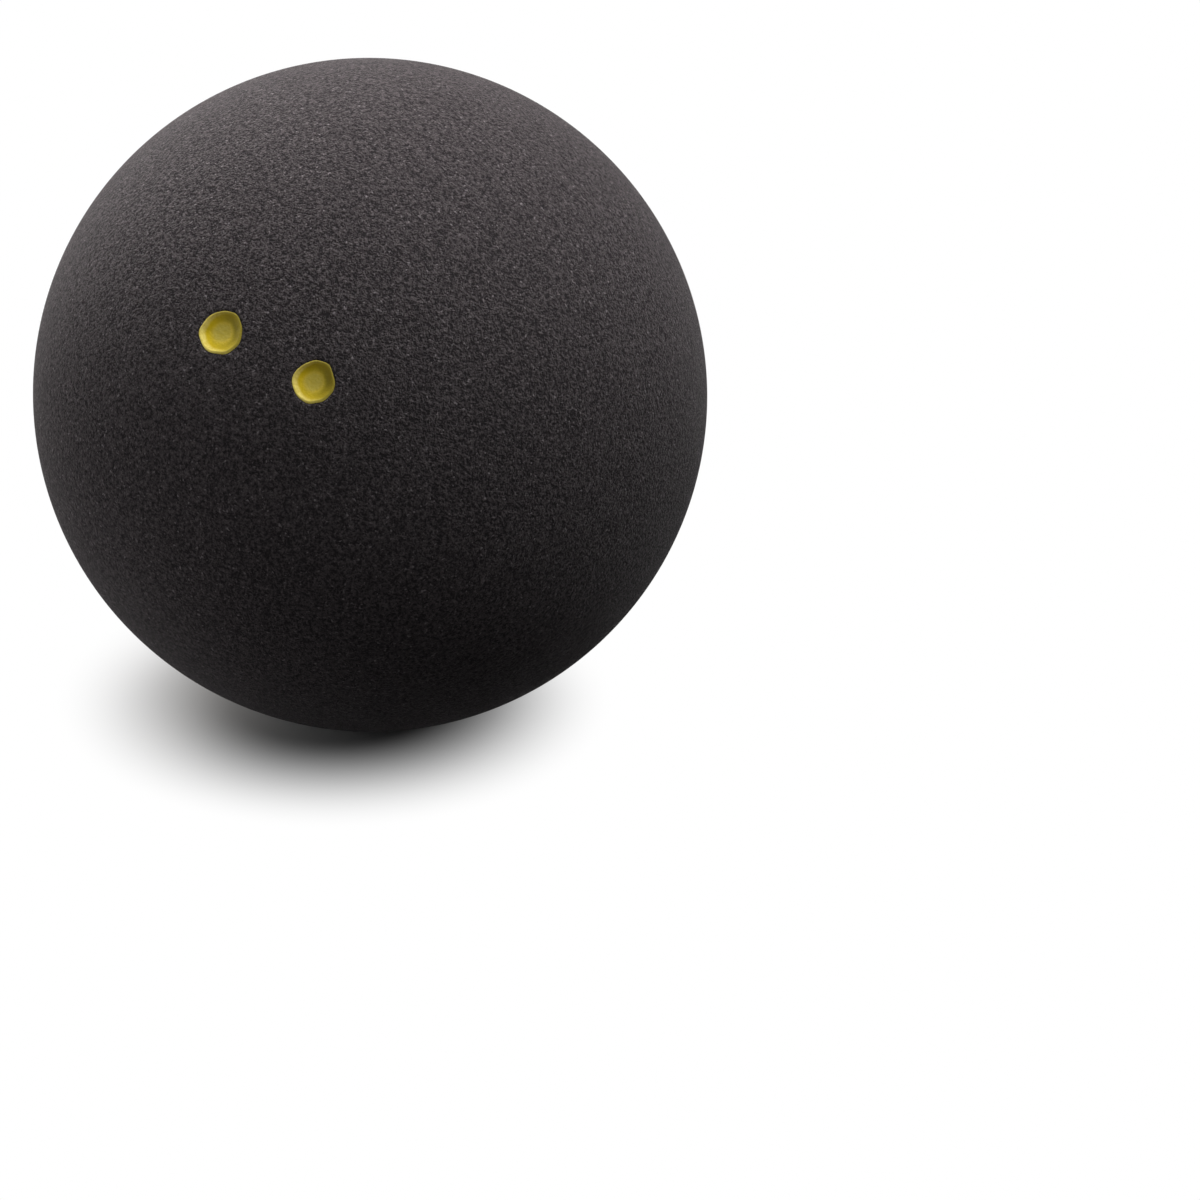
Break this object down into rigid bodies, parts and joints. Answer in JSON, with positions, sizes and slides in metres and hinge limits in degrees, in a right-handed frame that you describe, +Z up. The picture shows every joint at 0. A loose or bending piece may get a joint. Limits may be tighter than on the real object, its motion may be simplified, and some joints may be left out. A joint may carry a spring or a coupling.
{
  "type": "squash ball",
  "caption": "Hollow matte black rubber squash ball made of bonded half shells, with small yellow speed dots pressed into its face.",
  "frame": {"origin": "centre of the ball", "axes": "+Z up as the ball lies in the picture, -Y towards the front, where the dots face, +X to the viewer's right"},
  "size_m": [0.04, 0.04, 0.04],
  "materials": {
    "rubber": "matte, finely buffed",
    "bond": "matte, cured rubber solution",
    "dot_paint": "chalky matt paint",
    "print_ink": "thin silver-grey ink"
  },
  "bodies": {
    "root": {"dotted_half": "rubber", "plain_half": "rubber", "seam_bond": "bond", "left_dot": "dot_paint", "right_dot": "dot_paint"}
  },
  "joints": []
}
